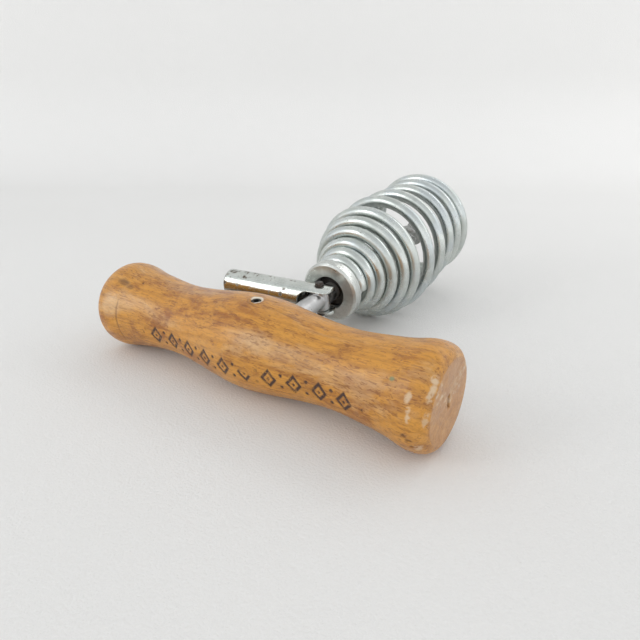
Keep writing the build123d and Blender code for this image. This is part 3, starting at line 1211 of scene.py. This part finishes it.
# these three keep their CAD meshes
for node, material in (
    ("handle_pin", dark_pin_metal),
    # the thrust washer in the collar's recess gets the near-black pin metal as painted shade
    ("thrust_washer", dark_pin_metal),
    ("socket_pin", steel_pin_metal),
):
    mesh = frame["nodes"][node].data
    mesh.materials.clear()
    mesh.materials.append(material)


# ------------------------------------------------------------------ stage, light and camera
CAMERA_SPOT = handle_centre + Vector((0.0904, -0.1027, 0.06492))
CAMERA_AIM = Vector((-0.518, 0.7585, -0.395)).normalized()
CAMERA_LENS = 30.88
forward = Vector((CAMERA_AIM.x, CAMERA_AIM.y, 0)).normalized()
sideways = Vector((forward.y, -forward.x, 0))
under_camera = Vector((CAMERA_SPOT.x, CAMERA_SPOT.y, 0))
CLOTH_EDGE = 0.54  # distance from the camera to the upright part of the sheet
CLOTH_BEND = 0.09
CLOTH_HALF_WIDTH = 1.6
CLOTH_HEIGHT = 1.6
WINDOW_WAY = Vector((-0.53, -0.76, 0.44)) * 0.80  # from the tool to the window
BACK_HEIGHT = 0.48
WINDOW_POWER = 0.90
BACK_POWER = 1.7
WORLD_STRENGTH = 1.50
HORIZON_COLOUR = (0.90, 0.905, 0.91)
OVERHEAD_COLOUR = (0.50, 0.51, 0.515)


def cloth_material(name, colour, grain):
    n = Nodes(name)
    place = n.place()
    weave = n.noise(place, grain, 4.0, 0.6)
    # painted shade of soft folds: faint darker patches on the flat sheet
    fold_shade = n.noise(place, 9.0, 3.0, 0.5)
    shade = n.mix(n.band(fold_shade, 0.3, 0.7, 0.0, 0.5), colour, tuple(c * 0.975 for c in colour))
    shade = n.mix(n.band(weave, 0.35, 0.7, 0.0, 0.35), shade, tuple(c * 0.955 for c in colour))
    n.set(Base_Color=shade, Roughness=0.9, Specular_IOR_Level=0.15, Normal=n.bump(weave, 0.0002))
    return n.material


def add_stage(name, profile, material):
    """Sheet with a profile of (distance from the camera, height), wide across the view."""
    verts = []
    for distance, height in profile:
        for side in (-CLOTH_HALF_WIDTH, CLOTH_HALF_WIDTH):
            spot = under_camera + forward * distance + sideways * side
            verts.append((spot.x, spot.y, height))
    faces = [(2 * i, 2 * i + 1, 2 * i + 3, 2 * i + 2) for i in range(len(profile) - 1)]
    mesh = bpy.data.meshes.new(name)
    mesh.from_pydata(verts, [], faces)
    mesh.update()
    mesh.shade_smooth()
    mesh.materials.append(material)
    sheet = bpy.data.objects.new(name, mesh)
    bpy.context.scene.collection.objects.link(sheet)


# quarter circle from the table up to the wall
bend = [
    (CLOTH_EDGE - CLOTH_BEND + CLOTH_BEND * sin(radians(a)), CLOTH_BEND - CLOTH_BEND * cos(radians(a)))
    for a in range(0, 91, 9)
]
add_stage(
    "pale_cloth",
    [(-2.2, 0.0), (-0.5, 0.0), (0.3, 0.0)] + bend + [(CLOTH_EDGE, CLOTH_HEIGHT)],
    cloth_material("pale_cloth", (0.80, 0.795, 0.785), 1500.0),
)


def add_light(name, spot, aim, size, power, colour=(1, 1, 1)):
    light = bpy.data.lights.new(name, "AREA")
    light.shape = "RECTANGLE"
    light.size, light.size_y = size
    light.energy = power
    light.color = colour
    lamp = bpy.data.objects.new(name, light)
    lamp.location = spot
    lamp.rotation_mode = "QUATERNION"
    lamp.rotation_quaternion = (Vector(aim) - Vector(spot)).to_track_quat("-Z", "Y")
    bpy.context.scene.collection.objects.link(lamp)


centre = (cad_low + cad_high) / 2
add_light(
    "left_window",
    centre + WINDOW_WAY,
    centre,
    (0.24, 0.40),
    WINDOW_POWER,
    (0.98, 0.99, 1.0),
)
far_floor = under_camera + forward * (CLOTH_EDGE - 0.06) + sideways * 0.40
add_light(
    "back_wash",
    far_floor + Vector((0, 0, BACK_HEIGHT)),
    far_floor,
    (1.4, 0.30),
    BACK_POWER,
)


def add_world():
    """Soft room, brighter near the horizon than overhead."""
    world = bpy.data.worlds.new("soft_room")
    world.use_nodes = True
    bpy.context.scene.world = world
    tree = world.node_tree
    background = tree.nodes["Background"]
    direction = tree.nodes.new("ShaderNodeTexCoord").outputs["Generated"]
    upward = tree.nodes.new("ShaderNodeVectorMath")
    upward.operation = "DOT_PRODUCT"
    tree.links.new(direction, upward.inputs[0])
    upward.inputs[1].default_value = (0, 0, 1)
    gradient = tree.nodes.new("ShaderNodeValToRGB")
    stops = gradient.color_ramp.elements
    for stop, position, colour in (
        (stops[0], 0.0, HORIZON_COLOUR),
        (stops[1], 0.85, OVERHEAD_COLOUR),
    ):
        stop.position = position
        stop.color = (*colour, 1)
    tree.links.new(upward.outputs["Value"], gradient.inputs["Fac"])
    tree.links.new(gradient.outputs["Color"], background.inputs["Color"])
    background.inputs["Strength"].default_value = WORLD_STRENGTH


def add_camera():
    camera_data = bpy.data.cameras.new("camera")
    camera_data.lens = CAMERA_LENS
    camera_data.sensor_width = 36.0
    camera_data.clip_start = 0.005
    camera_data.clip_end = 10.0
    camera = bpy.data.objects.new("camera", camera_data)
    camera.location = CAMERA_SPOT
    camera.rotation_mode = "QUATERNION"
    camera.rotation_quaternion = CAMERA_AIM.to_track_quat("-Z", "Y")
    bpy.context.scene.collection.objects.link(camera)
    bpy.context.scene.camera = camera


add_world()
add_camera()
bpy.context.scene.view_settings.view_transform = "Standard"

bpy.context.view_layer.update()
